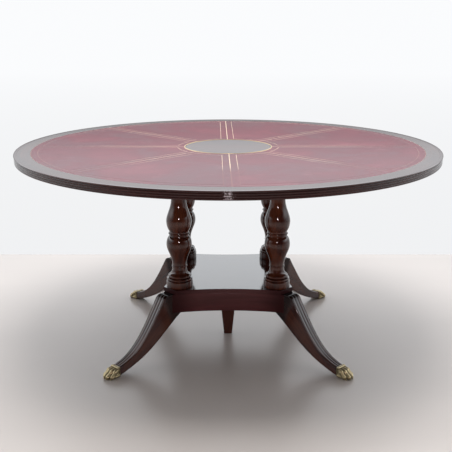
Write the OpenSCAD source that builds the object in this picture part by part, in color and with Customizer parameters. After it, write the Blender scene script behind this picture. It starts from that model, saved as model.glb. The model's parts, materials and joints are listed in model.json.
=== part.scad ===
// Round pedestal table: leather panelled top on four turned columns, a hollow platform,
// four reeded sabre legs with brass paw caps, and a tapered support leg in the middle.
// Millimetres, real size. Origin on the floor under the centre, +Z up, front is -Y.

/* [Table top] */
// Outside diameter of the top
top_dia = 1550; // [1300:10:1800]
// Height of the top above the floor
table_h = 742; // [700:1:780]
// Depth of the reeded edge, from the top surface down
edge_depth = 28; // [20:1:40]
// Thickness of the border veneer, the centre disc and the leather bed
facing_t = 2; // [1.5:0.1:4]
// Thickness of the leather
leather_t = 1.6; // [1:0.1:2]
// Width of the polished border round the leather
border_w = 59; // [40:1:90]
// Width of the solid edge moulding
lipping_w = 26; // [18:1:40]
// Diameter of the polished disc in the middle
disc_dia = 319; // [250:1:400]
// Width of the brass string round the disc
string_w = 2.5; // [1:0.5:4]
// Number of leather panels
panel_count = 8; // [4:1:12]
// Turn of the leather pattern relative to the base, in degrees
pattern_turn = 0.8; // [0:0.1:5]

/* [Frame under the top] */
// Depth of the bearers and rails
bearer_h = 38; // [34:1:50]
// Width of the bearers and rails
bearer_w = 64; // [50:1:80]
// Length of the two long bearers
bearer_len = 1040; // [800:10:1200]

/* [Columns] */
// Distance of each column's axis from the centre lines
column_pos = 177; // [150:1:190]
// Radius of the turned drum at the foot of a column
drum_r = 48; // [45:0.5:50]
// Radius of the bottom tenon
tenon_r = 15; // [12:0.5:18]

/* [Platform] */
// Height of the platform's underside above the floor
platform_z = 171; // [150:1:200]
// Height of the platform, top board included
platform_h = 85; // [75:1:100]
// Thickness of the top board
board_t = 16; // [12:1:20]
// Half depth of the board at the middle of a side
waist = 213; // [205:1:225]
// Half width of a side, up to the cut corner
side_half = 190; // [180:1:195]
// Half depth of the board at the ends of a side
shoulder = 235; // [228:1:242]
// Thickness of the aprons
apron_t = 22; // [16:1:24]
// How far the board stands past the aprons
overhang = 3; // [0:0.5:4]

/* [Legs] */
// Leg width where it leaves the platform
leg_w_top = 47; // [40:1:50]
// Leg width at the paw
leg_w_foot = 37; // [30:1:40]
// Depth of the grooves between the reeds
reed_depth = 2.2; // [1:0.1:3]
// Width of the support leg at the platform
prop_top = 64; // [50:1:70]
// Width of the support leg at the floor
prop_foot = 31; // [25:1:40]

/* [Hidden] */
$fn = 96;
top_r = top_dia / 2;
core_r = top_r - lipping_w;
leather_r = top_r - border_w;
disc_r = disc_dia / 2;
string_r = disc_r + string_w;
core_top = table_h - facing_t;
core_bot = table_h - edge_depth;
edge_lip = 12;
reed_count = 3;
reed_h = (edge_depth - 6) / reed_count;
bearer_z = core_bot - bearer_h;
board_top = platform_z + platform_h;
board_bot = board_top - board_t;
apron_h = board_bot - platform_z;
sagitta = shoulder - waist;
hollow_r = (side_half * side_half + sagitta * sagitta) / (2 * sagitta);
hollow_y = waist + hollow_r;
apron_out_r = hollow_r + overhang;
apron_in_r = apron_out_r + apron_t;
leg_in = 268;
cap_x = 549;
stub_len = 22;
stub_w = 22;
stub_h = 18;
stub_z = 9;
stud_zs = [platform_z + 11, platform_z + 33];
stud_r = 4;
block_face = 195;
column_z = board_top;
tenon_len = 38;
top_tenon_r = 14;
top_tenon_len = 28;
prop_tenon = 36;
prop_tenon_len = 32;
screw_r = 2.5;
screw_head_r = 5;
bearer_screw_xs = [-420, 0, 420];
rail_in = column_pos - bearer_w / 2;
rail_tenon = [12, 15, 24];
top_curve = [[344, 232], [408, 135], [453, 53], [cap_x, 34]];
under_curve = [[leg_in, 162], [346, 118], [391, 45], [cap_x, 4]];
heel_curve = [[318, board_bot], [330, board_bot], [338, 239], [344, 232]];

mahogany = [0.24, 0.07, 0.05];
veneer = [0.30, 0.10, 0.07];
leather = [0.47, 0.10, 0.13];
brass = [0.60, 0.49, 0.24];
gilt = [0.83, 0.66, 0.32];
beech = [0.72, 0.55, 0.38];
board = [0.55, 0.42, 0.28];
steel = [0.62, 0.63, 0.65];

// ---------- curves ----------

// Point on a cubic curve with four control points, t from 0 to 1.
function curve_at(p, t) =
    pow(1 - t, 3) * p[0] + 3 * t * pow(1 - t, 2) * p[1] + 3 * t * t * (1 - t) * p[2] + pow(t, 3) * p[3];

// Evenly spaced points on a cubic curve, without its first point.
function curve(p, n) = [for (i = [1 : n]) curve_at(p, i / n)];

// Points of a half-round bead, upward: centre height z, half height h, from radius r out by d.
function bead(r, z, h, d) = [for (i = [0 : 8]) [r + d * sin(i * 22.5), z - h * cos(i * 22.5)]];

function unit(v) = v / norm(v);

// ---------- top ----------

// Section of the solid edge: rebate for the veneer inside, a small lip and shallow reeds outside.
module edge_section() {
    lip = [for (i = [1 : 7])
        [top_r - 2.5 + 2.5 * cos(90 - i * 22.5), table_h - 2.5 + 2.5 * sin(90 - i * 22.5)]];
    reeds = [for (k = [1 : reed_count], i = [0 : 8])
        [top_r - 2 - 0.5 * k + 1.8 * sin(i * 22.5),
            core_bot + reed_h * (reed_count + 0.5 - k + 0.5 * cos(i * 22.5))]];
    polygon(concat(
        [[core_r, core_bot], [core_r, core_top], [top_r - edge_lip, core_top], [top_r - edge_lip, table_h]],
        [[top_r - 2.5, table_h]], lip, reeds));
}

module edge_moulding(turn) {
    color(mahogany)
    rotate([0, 0, turn - 45])
    rotate_extrude(angle = 90)
    edge_section();
}

// Flat ring sector lying on the core.
module facing(r_in, r_out, from, sweep, thick) {
    rotate([0, 0, from])
    translate([0, 0, core_top])
    rotate_extrude(angle = sweep)
    translate([r_in, 0])
    square([r_out - r_in, thick]);
}

module border_veneer(turn) {
    color(veneer)
    facing(leather_r, top_r - edge_lip, turn - 45, 90, facing_t);
}

module leather_panel(index) {
    color(leather)
    facing(string_r, leather_r, pattern_turn + (index - 1) * 360 / panel_count, 360 / panel_count, leather_t);
}

module centre_disc() {
    color(veneer)
    translate([0, 0, core_top])
    cylinder(r = disc_r, h = facing_t);
}

module disc_string() {
    color(gilt)
    translate([0, 0, core_top])
    difference() {
        cylinder(r = string_r, h = facing_t);
        translate([0, 0, -1])
        cylinder(r = disc_r, h = facing_t + 2);
    }
}

// Calls its child at every screw that fixes the frame to the top.
module at_bearer_screws() {
    for (x = bearer_screw_xs, y = [-column_pos, column_pos])
        translate([x, y, bearer_z])
        children();
    for (x = [-column_pos, column_pos])
        translate([x, 0, bearer_z])
        children();
}

// Countersunk wood screw, 46 long, standing in its 14 deep counterbore.
module bearer_screw() {
    translate([0, 0, 10])
    cylinder(r = screw_head_r, h = 4);
    translate([0, 0, 13.5])
    cylinder(r = screw_r, h = 42.5);
}

module bearer_screw_hole() {
    translate([0, 0, -1])
    cylinder(r = screw_head_r + 1, h = 15);
    cylinder(r = screw_r, h = 56);
}

module bearer_screws() {
    color(steel)
    at_bearer_screws()
    bearer_screw();
}

module top_core() {
    color(board)
    difference() {
        translate([0, 0, core_bot])
        cylinder(r = core_r, h = core_top - core_bot);
        at_bearer_screws()
        bearer_screw_hole();
    }
}

// Long bearer with its ends cut up at a slant, bored for two column tenons and three screws.
module bearer(side) {
    end_rise = 22;
    end_run = 90;
    half = bearer_len / 2;
    color(beech)
    difference() {
        translate([0, side * column_pos + bearer_w / 2, bearer_z])
        rotate([90, 0, 0])
        linear_extrude(bearer_w)
        polygon([[-half, end_rise], [end_run - half, 0], [half - end_run, 0], [half, end_rise],
            [half, bearer_h], [-half, bearer_h]]);
        at_bearer_screws()
        bearer_screw_hole();
        for (x = [-column_pos, column_pos])
            translate([x, side * column_pos, bearer_z - 1])
            cylinder(r = top_tenon_r, h = top_tenon_len + 1);
        for (x = [-column_pos, column_pos])
            translate([x - rail_tenon[0] / 2, side * (rail_in + rail_tenon[1] / 2), bearer_z + 8])
            translate([0, -rail_tenon[1] / 2, 0])
            cube(rail_tenon);
    }
}

// Short rail between the bearers, with a stub tenon at each end.
module rail(side) {
    tenon_half = rail_in + rail_tenon[1];
    color(beech)
    difference() {
        union() {
            translate([side * column_pos - bearer_w / 2, -rail_in, bearer_z])
            cube([bearer_w, 2 * rail_in, bearer_h]);
            translate([side * column_pos - rail_tenon[0] / 2, -tenon_half, bearer_z + 8])
            cube([rail_tenon[0], 2 * tenon_half, rail_tenon[2]]);
        }
        at_bearer_screws()
        bearer_screw_hole();
    }
}

// ---------- columns ----------

// Outline of the turning, from the foot up: drum, two rings, neck, two balusters, capital.
function turning() = concat(
    [[0, -tenon_len], [tenon_r, -tenon_len], [tenon_r, 0], [drum_r - 1, 0], [drum_r, 1], [drum_r, 22]],
    curve([[drum_r, 22], [drum_r, 24.5], [drum_r - 1.5, 25.5], [drum_r - 3, 26]], 3),
    bead(43.5, 31, 4.5, 3),
    bead(38.5, 41.3, 5.2, 3.2),
    [[38, 47]],
    curve([[38, 48], [30, 50], [26, 60], [26, 74]], 6),
    bead(26, 78, 3, 1.8),
    curve([[26.3, 88], [28, 118], [46, 138], [46, 160]], 12),
    curve([[46, 160], [46, 176], [41, 186], [35.5, 191]], 7),
    [[35.5, 197]],
    bead(35.8, 200.5, 2.2, 2.2),
    [[35.5, 204], [35.5, 211]],
    curve([[35.5, 211], [40, 216], [45.4, 230], [45.4, 246]], 7),
    curve([[45.4, 246], [45.4, 268], [28.5, 292], [27, 321]], 12),
    curve([[27, 321], [25.5, 340], [24, 350], [24, 362]], 4),
    bead(24, 368, 4, 3.5),
    curve([[24, 373], [24, 392], [30, 398], [38, 402]], 6),
    [[40, 402], [40, 406]],
    bead(40, 413, 7, 3),
    [[40, 420], [top_tenon_r, 420], [top_tenon_r, 420 + top_tenon_len], [0, 420 + top_tenon_len]]);

module column(sx, sy) {
    color(mahogany)
    translate([sx * column_pos, sy * column_pos, column_z])
    rotate_extrude()
    polygon(turning());
}

// ---------- platform ----------

// Outline of the board: a square with cut corners and four hollow sides.
module board_outline() {
    difference() {
        polygon([for (a = [0 : 90 : 270], p = [[side_half, -shoulder], [shoulder, -side_half]])
            [p[0] * cos(a) - p[1] * sin(a), p[0] * sin(a) + p[1] * cos(a)]]);
        for (a = [0 : 90 : 270])
            rotate([0, 0, a])
            translate([0, -hollow_y])
            circle(r = hollow_r, $fn = 360);
    }
}

module at_columns() {
    for (x = [-column_pos, column_pos], y = [-column_pos, column_pos])
        translate([x, y, 0])
        children();
}

// Screws up through the corner blocks, two in each.
module at_block_screws() {
    for (a = [0 : 90 : 270], p = [[140, 180], [180, 140]])
        rotate([0, 0, a])
        translate([p[0], p[1], platform_z])
        children();
}

module block_screw_hole() {
    translate([0, 0, -1])
    cylinder(r = screw_head_r, h = 35);
    cylinder(r = 2, h = apron_h + 10);
}

module block_screws() {
    color(steel)
    at_block_screws() {
        translate([0, 0, 30.5])
        cylinder(r = 4.5, h = 3.5);
        translate([0, 0, 33.5])
        cylinder(r = 2, h = apron_h + 10 - 33.5);
    }
}

module platform_board() {
    color(veneer)
    difference() {
        translate([0, 0, board_bot])
        linear_extrude(board_t)
        board_outline();
        at_columns()
        translate([0, 0, board_bot - 1])
        cylinder(r = tenon_r, h = board_t + 2);
        at_block_screws()
        block_screw_hole();
    }
}

// Solid cylinder whose wall is the inner face of one apron.
module apron_inside(z0, h) {
    translate([0, -hollow_y, z0])
    cylinder(r = apron_in_r, h = h, $fn = 360);
}

// One hollow apron on the -Y side, cut to meet the flat cheeks of both legs.
module apron(turn) {
    reach = leg_w_top / sqrt(2);
    color(mahogany)
    rotate([0, 0, turn])
    difference() {
        intersection() {
            apron_inside(platform_z, apron_h);
            translate([0, 0, platform_z - 1])
            linear_extrude(apron_h + 2)
            polygon([[0, -reach], [-300, -reach - 300], [300, -reach - 300]]);
        }
        translate([0, -hollow_y, platform_z - 1])
        cylinder(r = apron_out_r, h = apron_h + 2, $fn = 360);
    }
}

// Block behind a leg: holds the column tenon and takes the leg's two studs.
module corner_block(turn) {
    cheek = (leg_in - leg_w_top / 2) / sqrt(2);
    tip = (leg_in + leg_w_top / 2) / sqrt(2);
    flat = block_face * sqrt(2) - 125;
    color(beech)
    rotate([0, 0, turn])
    difference() {
        translate([0, 0, platform_z])
        linear_extrude(apron_h)
        polygon([[-cheek, -tip], [-125, -tip], [-125, -flat], [-flat, -125], [-tip, -125], [-tip, -cheek]]);
        for (a = [0, -90])
            rotate([0, 0, a])
            apron_inside(platform_z - 1, apron_h + 2);
        translate([-column_pos, -column_pos, board_top - tenon_len])
        cylinder(r = tenon_r, h = tenon_len);
        at_studs()
        cylinder(r = stud_r, h = 200);
        at_block_screws()
        block_screw_hole();
    }
}

// Rubbed blocks in the angle between each apron and the board.
module glue_blocks() {
    block_len = 40;
    color(beech)
    for (a = [0 : 90 : 270], x = [-80, 80])
        rotate([0, 0, a])
        difference() {
            translate([x - block_len / 2, 0, board_bot])
            rotate([90, 0, 90])
            linear_extrude(block_len)
            polygon([[-205, 0], [-164, 0], [-164, -8], [-180, -24], [-205, -24]]);
            apron_inside(platform_z - 1, apron_h + 2);
        }
}

module centre_rail() {
    color(beech)
    difference() {
        translate([-200, -40, board_bot - 30])
        cube([400, 80, 30]);
        for (a = [90, -90])
            rotate([0, 0, a])
            apron_inside(platform_z, apron_h + 1);
    }
}

module centre_block() {
    color(beech)
    difference() {
        translate([-50, -50, platform_z])
        cube([100, 100, apron_h - 30]);
        translate([-prop_tenon / 2, -prop_tenon / 2, platform_z - 1])
        cube([prop_tenon, prop_tenon, prop_tenon_len + 1]);
    }
}

// Square tapered leg under the middle of the platform, with a square tenon.
module support_leg() {
    a = prop_foot / 2;
    b = prop_top / 2;
    color(mahogany)
    union() {
        polyhedron(
            points = [[-a, -a, 0], [a, -a, 0], [a, a, 0], [-a, a, 0],
                [-b, -b, platform_z], [b, -b, platform_z], [b, b, platform_z], [-b, b, platform_z]],
            faces = [[0, 1, 2, 3], [7, 6, 5, 4], [4, 5, 1, 0], [5, 6, 2, 1], [6, 7, 3, 2], [7, 4, 0, 3]]);
        translate([-prop_tenon / 2, -prop_tenon / 2, platform_z - 1])
        cube([prop_tenon, prop_tenon, prop_tenon_len + 1]);
    }
}

// ---------- legs ----------

leg_tops = concat([[leg_in, board_bot], [318, board_bot]], curve(heel_curve, 4), curve(top_curve, 18));
leg_unders = [for (i = [0 : len(leg_tops) - 1]) curve_at(under_curve, i / (len(leg_tops) - 1))];

function leg_width(r) =
    r < 344 ? leg_w_top : leg_w_top + (leg_w_foot - leg_w_top) * (r - 344) / (cap_x - 344);

// Outward direction of the leg's upper face at station i.
function leg_out(i) =
    let (last = len(leg_tops) - 1)
    let (d = unit(leg_tops[min(i + 1, last)] - leg_tops[max(i - 1, 0)]))
    [-d[1], d[0]];

// Height of the reeded face across the leg, u from -1 to 1: a flat margin, three reeds, a flat margin.
function reed(u) =
    abs(u) > 0.86 ? 0 : reed_depth * (abs(sin((u / 0.86) * 270 + 90)) - 1);

reed_steps = 24;

// One cross-section of the leg, in its own frame: x outward, y across, z up.
function leg_ring(i) =
    let (w = leg_width(leg_tops[i][0]) / 2)
    let (n = leg_out(i))
    let (k = i < 3 ? 0 : 1)
    concat(
        [for (j = [0 : reed_steps])
            let (u = -1 + 2 * j / reed_steps)
            let (p = leg_tops[i] + n * k * reed(u))
            [p[0], u * w, p[1]]],
        [[leg_unders[i][0], w, leg_unders[i][1]], [leg_unders[i][0], -w, leg_unders[i][1]]]);

module leg_blank() {
    m = reed_steps + 3;
    rings = len(leg_tops);
    pts = [for (i = [0 : rings - 1]) each leg_ring(i)];
    last = (rings - 1) * m;
    sides = [for (i = [0 : rings - 2], j = [0 : m - 1], half = [0, 1])
        let (a = i * m + j)
        let (b = i * m + (j + 1) % m)
        half == 0 ? [a, b, b + m] : [a, b + m, a + m]];
    near = [for (j = [0 : m - 3]) [m - 1, j + 1, j]];
    far = [for (j = [0 : m - 3]) [last + m - 1, last + j, last + j + 1]];
    polyhedron(points = pts, faces = concat(sides, near, far), convexity = 6);
}

// Calls its child at both stud axes of the front left leg, with z pointing outward.
module at_studs() {
    for (z = stud_zs)
        rotate([0, 0, 225])
        translate([block_face - 16, 0, z])
        rotate([0, 90, 0])
        children();
}

module leg(turn) {
    color(mahogany)
    rotate([0, 0, turn])
    difference() {
        union() {
            rotate([0, 0, 225])
            leg_blank();
            rotate([0, 0, 225])
            translate([cap_x - 4, -stub_w / 2, stub_z])
            cube([stub_len + 4, stub_w, stub_h]);
        }
        at_studs()
        cylinder(r = stud_r, h = 141);
    }
}

module each_corner() {
    for (a = [0 : 90 : 270])
        rotate([0, 0, a])
        children();
}

module leg_studs() {
    color(steel)
    each_corner()
    at_studs()
    cylinder(r = stud_r, h = 141);
}

module leg_washers() {
    color(steel)
    each_corner()
    at_studs()
    translate([0, 0, 14])
    difference() {
        cylinder(r = 9, h = 2);
        translate([0, 0, -1])
        cylinder(r = stud_r, h = 4);
    }
}

module leg_nuts() {
    color(steel)
    each_corner()
    at_studs()
    translate([0, 0, 7.5])
    difference() {
        cylinder(r = 7.5, h = 6.5, $fn = 6);
        translate([0, 0, -1])
        cylinder(r = stud_r, h = 9);
    }
}

// ---------- paw caps ----------

// One toe in the cap's frame: a thick joint, a knuckle and a rounded tip.
module toe(side, setback) {
    back = [8, side * 5.5, 22];
    knuckle = [28 - setback / 2, side * 6.2, 20];
    tip = [46 - setback, side * 6.6, 9];
    limb(back, knuckle, 10);
    limb(knuckle, tip, 7.8);
    translate(knuckle)
    sphere(r = 10.5, $fn = 32);
    translate(tip)
    sphere(r = 8, $fn = 32);
}

// Round bar from one point to another.
module limb(from, to, r) {
    d = to - from;
    translate(from)
    rotate([0, acos(d[2] / norm(d)), atan2(d[1], d[0])])
    cylinder(r = r, h = norm(d), $fn = 32);
}

module paw_cap(turn) {
    collar = leg_w_foot + 3;
    collar_len = 11;
    outer_setback = 11;
    color(brass)
    rotate([0, 0, turn + 225])
    translate([cap_x, 0, 0])
    difference() {
        union() {
            translate([0, -collar / 2, 1])
            cube([collar_len, collar, 35.5]);
            translate([5, -16, 0])
            cube([34, 32, 22]);
            for (k = [-3 : 2 : 3])
                toe(k, abs(k) > 1 ? outer_setback : 0);
        }
        translate([-20, -40, -30])
        cube([100, 80, 30]);
        translate([-20, -40, 1])
        cube([20, 80, 60]);
        translate([-1, -stub_w / 2, stub_z])
        cube([stub_len + 1, stub_w, stub_h]);
        translate([12, 0, -1])
        cylinder(r = 1.5, h = 20);
    }
}

// One brass pin up through the sole of each cap into the leg's stub.
module paw_pins() {
    color(brass)
    for (a = [0 : 90 : 270])
        rotate([0, 0, a + 225])
        translate([cap_x + 12, 0, 1])
        cylinder(r = 1.5, h = 8);
}

// ---------- nodes ----------

top_core();
edge_moulding(-90);  // edge_moulding_front
edge_moulding(0);  // edge_moulding_right
edge_moulding(90);  // edge_moulding_back
edge_moulding(180);  // edge_moulding_left
border_veneer(-90);  // border_veneer_front
border_veneer(0);  // border_veneer_right
border_veneer(90);  // border_veneer_back
border_veneer(180);  // border_veneer_left
leather_panel(1);  // leather_panel_1
leather_panel(2);  // leather_panel_2
leather_panel(3);  // leather_panel_3
leather_panel(4);  // leather_panel_4
leather_panel(5);  // leather_panel_5
leather_panel(6);  // leather_panel_6
leather_panel(7);  // leather_panel_7
leather_panel(8);  // leather_panel_8
centre_disc();
disc_string();
bearer(-1);  // bearer_front
bearer(1);  // bearer_back
rail(-1);  // rail_left
rail(1);  // rail_right
bearer_screws();
column(-1, -1);  // column_front_left
column(1, -1);  // column_front_right
column(-1, 1);  // column_back_left
column(1, 1);  // column_back_right
platform_board();
apron(0);  // apron_front
apron(90);  // apron_right
apron(180);  // apron_back
apron(270);  // apron_left
corner_block(0);  // corner_block_front_left
corner_block(90);  // corner_block_front_right
corner_block(180);  // corner_block_back_right
corner_block(270);  // corner_block_back_left
glue_blocks();
block_screws();
centre_rail();
centre_block();
support_leg();
leg(0);  // leg_front_left
leg(90);  // leg_front_right
leg(180);  // leg_back_right
leg(270);  // leg_back_left
leg_studs();
leg_washers();
leg_nuts();
paw_cap(0);  // paw_cap_front_left
paw_cap(90);  // paw_cap_front_right
paw_cap(180);  // paw_cap_back_right
paw_cap(270);  // paw_cap_back_left
paw_pins();
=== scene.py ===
import json
import math

import bmesh
import bpy
import numpy as np
from mathutils import Matrix, Vector, noise

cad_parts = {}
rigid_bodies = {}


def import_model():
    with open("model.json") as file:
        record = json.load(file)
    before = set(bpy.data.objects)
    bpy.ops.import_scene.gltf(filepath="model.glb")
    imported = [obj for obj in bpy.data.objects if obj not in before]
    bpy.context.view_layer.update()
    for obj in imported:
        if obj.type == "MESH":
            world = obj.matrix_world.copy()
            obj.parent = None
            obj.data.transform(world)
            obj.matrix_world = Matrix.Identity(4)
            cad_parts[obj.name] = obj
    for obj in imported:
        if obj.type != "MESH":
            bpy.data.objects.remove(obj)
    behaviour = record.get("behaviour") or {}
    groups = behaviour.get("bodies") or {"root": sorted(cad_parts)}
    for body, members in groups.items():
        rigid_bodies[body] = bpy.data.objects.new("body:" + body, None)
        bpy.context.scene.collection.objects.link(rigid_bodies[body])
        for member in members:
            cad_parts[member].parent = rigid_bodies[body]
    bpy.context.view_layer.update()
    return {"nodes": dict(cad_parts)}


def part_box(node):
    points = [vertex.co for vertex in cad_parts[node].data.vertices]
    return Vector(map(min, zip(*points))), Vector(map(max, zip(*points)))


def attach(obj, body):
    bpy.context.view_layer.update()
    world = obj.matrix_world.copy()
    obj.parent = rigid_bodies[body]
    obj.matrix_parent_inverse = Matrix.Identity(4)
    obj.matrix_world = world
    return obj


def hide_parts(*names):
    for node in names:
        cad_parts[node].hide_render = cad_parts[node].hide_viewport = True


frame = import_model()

# ---------- sizes, as in the CAD model ----------

TOP_R = 0.775
TOP_Z = 0.742
CORE_TOP = 0.740
CORE_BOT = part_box("top_core")[0][2]
CORE_R = TOP_R - 0.026
EDGE_LIP = 0.012
EDGE_LIP_H = 0.006
EDGE_REEDS = 3
LEATHER_R = TOP_R - 0.059
LEATHER_Z = 0.7416
DISC_R = 0.1595
STRING_R = 0.162
QUARTER_STEPS = 110
PATTERN_TURN = math.radians(0.8)
PANELS = 8
COLUMN_POS = 0.177
PLATFORM_Z = 0.171
BOARD_TOP = 0.256
BOARD_BOT = 0.240
WAIST = 0.213
SIDE_HALF = 0.190
SHOULDER = 0.235
HOLLOW_SAG = SHOULDER - WAIST
HOLLOW_R = (SIDE_HALF ** 2 + HOLLOW_SAG ** 2) / (2 * HOLLOW_SAG)
HOLLOW_Y = WAIST + HOLLOW_R
APRON_T = 0.022
OVERHANG = 0.003
SIDE_STEPS = 40
LEG_W_TOP = 0.047
LEG_W_FOOT = 0.037
CAP_X = 0.549
PROP_TOP = 0.064
PROP_FOOT = 0.031
SIDES = {"front": -90, "right": 0, "back": 90, "left": 180}
CORNERS = {"front_left": 225, "front_right": 315, "back_right": 45, "back_left": 135}


# ---------- node materials ----------

class Nodes:
    """A node tree under construction, and short ways to add to it."""

    def __init__(self, tree, keep=()):
        self.tree = tree
        for n in list(tree.nodes):
            if n.name not in keep:
                tree.nodes.remove(n)

    def node(self, kind, **links):
        n = self.tree.nodes.new("ShaderNode" + kind)
        for key, value in links.items():
            self.feed(n.inputs[key.replace("_", " ")], value)
        return n

    def feed(self, socket, value):
        if isinstance(value, bpy.types.NodeSocket):
            self.tree.links.new(value, socket)
        else:
            socket.default_value = value

    def attribute(self, name, output):
        n = self.node("Attribute")
        n.attribute_name = name
        return n.outputs[output]

    def stretch(self, space, scale, turn=(0, 0, 0), shift=(0, 0, 0)):
        n = self.node("Mapping", Vector=space, Scale=scale, Rotation=turn, Location=shift)
        return n.outputs[0]

    def noise(self, space, scale=1.0, detail=4.0, rough=0.55, warp=0.0):
        n = self.node("TexNoise", Vector=space, Scale=scale, Detail=detail, Roughness=rough,
                      Distortion=warp)
        return n.outputs["Fac"]

    def ramp(self, fac, stops):
        n = self.node("ValToRGB", Fac=fac)
        marks = n.color_ramp.elements
        while len(marks) < len(stops):
            marks.new(0.5)
        for mark, (at, colour) in zip(marks, stops):
            mark.position = at
            mark.color = (*colour, 1) if len(colour) == 3 else colour
        return n.outputs[0]

    def curve(self, fac, low, high, out_low=0.0, out_high=1.0):
        """A smooth step from out_low to out_high while fac goes from low to high."""
        n = self.node("MapRange")
        n.interpolation_type = "SMOOTHSTEP"
        for key, value in zip(("Value", "From Min", "From Max", "To Min", "To Max"),
                              (fac, low, high, out_low, out_high)):
            self.feed(n.inputs[key], value)
        return n.outputs[0]

    def math(self, op, a, b=0.0, c=0.0):
        n = self.node("Math")
        n.operation = op
        for socket, value in zip(n.inputs, (a, b, c)):
            self.feed(socket, value)
        return n.outputs[0]

    def mix(self, fac, a, b, blend="MIX"):
        n = self.node("Mix")
        n.data_type = "RGBA"
        n.blend_type = blend
        self.feed(n.inputs[0], fac)
        for socket, value in ((n.inputs[6], a), (n.inputs[7], b)):
            self.feed(socket, (*value, 1) if isinstance(value, tuple) and len(value) == 3 else value)
        return n.outputs[2]

    def bump(self, height, strength, distance):
        return self.node("Bump", Height=height, Strength=strength, Distance=distance).outputs[0]


class Paint(Nodes):
    """A material with a Principled shader."""

    def __init__(self, name, **values):
        self.mat = bpy.data.materials.new(name)
        self.mat.use_nodes = True
        super().__init__(self.mat.node_tree, keep=("Principled BSDF", "Material Output"))
        self.shader = self.tree.nodes["Principled BSDF"]
        for key, value in values.items():
            self.shader.inputs[key.replace("_", " ")].default_value = value

    def link(self, key, value):
        self.feed(self.shader.inputs[key], value)

    def grain_space(self, own_attribute=True):
        """Coordinates that run along the piece's own grain, or the frame's for a CAD node."""
        if own_attribute:
            return self.attribute("grain", "Vector")
        return self.node("TexCoord").outputs["Object"]


def mahogany(name, dark=(0.013, 0.0025, 0.0020), mid=(0.038, 0.0076, 0.0048),
             light=(0.092, 0.0235, 0.0098), coat_ior=1.48, gloss=0.06, figure=1.0, glow=0.55,
             with_painted_shade=False):
    """Stained and French-polished mahogany: ribbon figure, pores along the grain, a clear coat."""
    p = Paint(name, Roughness=0.34, IOR=1.5, Specular_IOR_Level=0.0, Coat_Weight=1.0,
              Coat_Roughness=gloss, Coat_IOR=coat_ior)
    space = p.grain_space()
    bands = p.noise(p.stretch(space, (2.2, 26 * figure, 26 * figure)), 1.0, 5, 0.6, 0.6)
    clouds = p.noise(p.stretch(space, (5, 9, 9), shift=(3, 1, 2)), 1.0, 3, 0.5)
    pores = p.noise(p.stretch(space, (55, 900, 900)), 1.0, 3, 0.6)
    tint = p.ramp(bands, [(0.30, dark), (0.50, mid), (0.72, light)])
    tint = p.mix(p.curve(clouds, 0.40, 0.68, 0, glow), tint, light)
    tint = p.mix(p.curve(pores, 0.56, 0.70, 0, 0.55), tint, dark)
    # painted shade: where this mask is high the wood is darkened and its clear coat thinned, standing in for
    # shade
    if with_painted_shade:
        painted_shade = p.attribute("painted_shade", "Fac")
        tint = p.mix(p.curve(painted_shade, 0.45, 1.0, 0, 0.80), tint, tuple(0.35 * c for c in dark))
        p.link("Coat Weight", p.curve(painted_shade, 0.45, 1.0, 1.0, 0.35))
    p.link("Base Color", tint)
    p.link("Roughness", p.curve(bands, 0.3, 0.7, 0.30, 0.42))
    p.link("Normal", p.bump(pores, 0.2, 0.0001))
    skin = p.noise(p.stretch(space, (14, 22, 22), shift=(7, 7, 7)), 1.0, 2, 0.4)
    p.link("Coat Normal", p.bump(skin, 0.08, 0.0012))
    return p.mat


def leather_paint():
    """Burgundy skiver: fine pebble, soft clouds, paler where rubbed, duller towards the back."""
    p = Paint("leather", Roughness=0.5, IOR=1.5, Coat_Weight=0.22, Coat_Roughness=0.34)
    space = p.grain_space()
    clouds = p.noise(p.stretch(space, (4.2, 4.2, 4.2)), 1.0, 6, 0.66, 0.5)
    spots = p.noise(p.stretch(space, (18, 18, 18), shift=(4, 2, 1)), 1.0, 5, 0.62)
    tint = p.ramp(clouds, [(0.30, (0.078, 0.0175, 0.027)), (0.50, (0.123, 0.031, 0.043)),
                           (0.70, (0.188, 0.064, 0.079))])
    tint = p.mix(p.curve(spots, 0.55, 0.78, 0, 0.35), tint, (0.230, 0.085, 0.098))
    tint = p.mix(p.curve(spots, 0.40, 0.24, 0, 0.45), tint, (0.070, 0.014, 0.019))
    p.link("Base Color", tint)
    p.link("Roughness", p.curve(clouds, 0.3, 0.7, 0.46, 0.60))
    depth = p.node("SeparateXYZ", Vector=space).outputs["Y"]
    p.link("Coat Weight", p.curve(depth, -0.55, 0.35, 0.27, 0.0))
    p.link("Specular IOR Level", p.curve(depth, -0.5, 0.5, 0.5, 0.2))
    cells = p.node("TexVoronoi", Vector=space, Scale=620.0)
    cells.feature = "SMOOTH_F1"
    pebble = p.math("ADD", cells.outputs["Distance"], p.noise(space, 1500.0, 2, 0.5))
    p.link("Normal", p.bump(pebble, 0.35, 0.00035))
    return p.mat


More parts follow.
